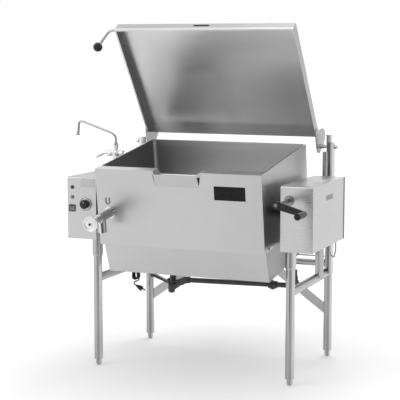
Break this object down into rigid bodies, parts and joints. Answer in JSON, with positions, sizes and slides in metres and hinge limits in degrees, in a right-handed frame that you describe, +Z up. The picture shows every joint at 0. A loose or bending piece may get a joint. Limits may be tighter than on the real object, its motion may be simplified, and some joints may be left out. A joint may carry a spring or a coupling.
{
  "type": "tilting bratt pan",
  "caption": "Deep rectangular tilting cooking pan on open tube legs, with consoles, hand-cranked tilt, hinged lid, draw-off valve and swing spout.",
  "frame": {"origin": "on the floor under the middle of the part's bounding box, cord left out", "axes": "+Z up, front towards -Y, width along X"},
  "size_m": [1.4049, 0.9791, 1.6374],
  "materials": {
    "stainless": "satin brushed",
    "tube_steel": "satin",
    "tank_steel": "fine brushed",
    "chrome": "polished",
    "black_plastic": "smooth",
    "grip_plastic": "satin",
    "black_iron": "painted",
    "gear_iron": "machined",
    "shaft_steel": "turned",
    "lamp": "clear",
    "rubber": "smooth",
    "cord": "smooth"
  },
  "bodies": {
    "frame": {"feet": "tube_steel", "leg_front_left": "tube_steel", "leg_front_right": "tube_steel", "leg_rear_left": "tube_steel", "leg_rear_right": "tube_steel", "leg_socket_left": "tube_steel", "leg_socket_right": "tube_steel", "side_frame_left": "tube_steel", "side_frame_right": "tube_steel", "rear_rail": "tube_steel", "brace_left": "tube_steel", "brace_right": "tube_steel", "lid_post_left": "tube_steel", "lid_post_right": "tube_steel", "hinge_pins": "chrome", "lid_balance": "tube_steel", "console_left": "stainless", "console_left_back": "stainless", "console_right": "stainless", "console_right_back": "stainless", "bearing_left": "gear_iron", "bearing_right": "gear_iron", "worm_bracket": "gear_iron", "crank_escutcheon": "chrome", "faucet_body": "chrome", "dial": "chrome", "switch_frame": "black_plastic", "lamps": "lamp", "gas_line": "black_iron", "gas_hanger": "black_iron", "conduit": "rubber", "cord_gland": "rubber", "cord": "cord", "hank": "cord", "plug": "rubber"},
    "pan": {"tank": "tank_steel", "pan_skin": "stainless", "pour_lip": "stainless", "burner_box": "stainless", "burners": "gear_iron", "trunnion_left": "gear_iron", "trunnion_right": "gear_iron", "valve_body": "shaft_steel", "strainer_hook": "shaft_steel"},
    "crank": {"crank_shaft": "shaft_steel", "crank_arm": "black_plastic"},
    "grip": {"crank_grip": "grip_plastic"},
    "lid": {"lid": "stainless", "hinge_plate_left": "stainless", "hinge_plate_right": "stainless", "lid_handle": "chrome", "lid_ball": "black_plastic"},
    "valve_wheel": {"valve_wheel": "chrome"},
    "valve_plug": {"valve_plug": "shaft_steel"},
    "spout": {"spout": "chrome"},
    "lever_left": {"lever_left": "chrome"},
    "lever_right": {"lever_right": "chrome"},
    "thermostat": {"knob": "black_plastic"},
    "power_switch": {"switch_rocker": "black_plastic"}
  },
  "joints": [
    {"name": "pan_tilt", "type": "hinge", "parent": "frame", "child": "pan", "pos_m": [0.061, 0.037, 0.7763], "axis": [1, 0, 0], "range_deg": [-8.49, 66.51]},
    {"name": "crank_turn", "type": "hinge", "parent": "frame", "child": "crank", "pos_m": [0.561, -0.374, 0.8563], "axis": [0, -1, 0], "range_deg": [-256, 1997]},
    {"name": "grip_spin", "type": "hinge", "parent": "crank", "child": "grip", "pos_m": [0.6856, -0.404, 0.82291], "axis": [0, 1, 0], "continuous": true},
    {"name": "lid_hinge", "type": "hinge", "parent": "frame", "child": "lid", "pos_m": [0.061, 0.419, 1.051], "axis": [-1, 0, 0], "range_deg": [-54.38, 28]},
    {"name": "valve_turn", "type": "hinge", "parent": "pan", "child": "valve_wheel", "pos_m": [-0.282, -0.4272, 0.74796], "axis": [0, -0.989, -0.1476], "range_deg": [0, 720]},
    {"name": "valve_slide", "type": "slide", "parent": "pan", "child": "valve_plug", "axis": [0, -0.989, -0.1476], "range_m": [0, 0.008]},
    {"name": "spout_swing", "type": "hinge", "parent": "frame", "child": "spout", "pos_m": [-0.482, 0.187, 1.06], "axis": [0, 0, -1], "range_deg": [-180, 60]},
    {"name": "tap_left", "type": "hinge", "parent": "frame", "child": "lever_left", "pos_m": [-0.532, 0.187, 1.003], "axis": [1, 0, 0], "range_deg": [0, 90]},
    {"name": "tap_right", "type": "hinge", "parent": "frame", "child": "lever_right", "pos_m": [-0.436, 0.187, 1.003], "axis": [1, 0, 0], "range_deg": [0, 90]},
    {"name": "thermostat_turn", "type": "hinge", "parent": "frame", "child": "thermostat", "pos_m": [-0.4525, -0.199, 0.7907], "axis": [0, 1, 0], "range_deg": [0, 280]},
    {"name": "switch_rock", "type": "hinge", "parent": "frame", "child": "power_switch", "pos_m": [-0.5234, -0.199, 0.7693], "axis": [-1, 0, 0], "range_deg": [0, 16]}
  ],
  "couplings": [
    {"joint": "crank_turn", "follows": "pan_tilt", "ratio": 30},
    {"joint": "valve_slide", "follows": "valve_turn", "m_per_rad": 0.00063662}
  ]
}
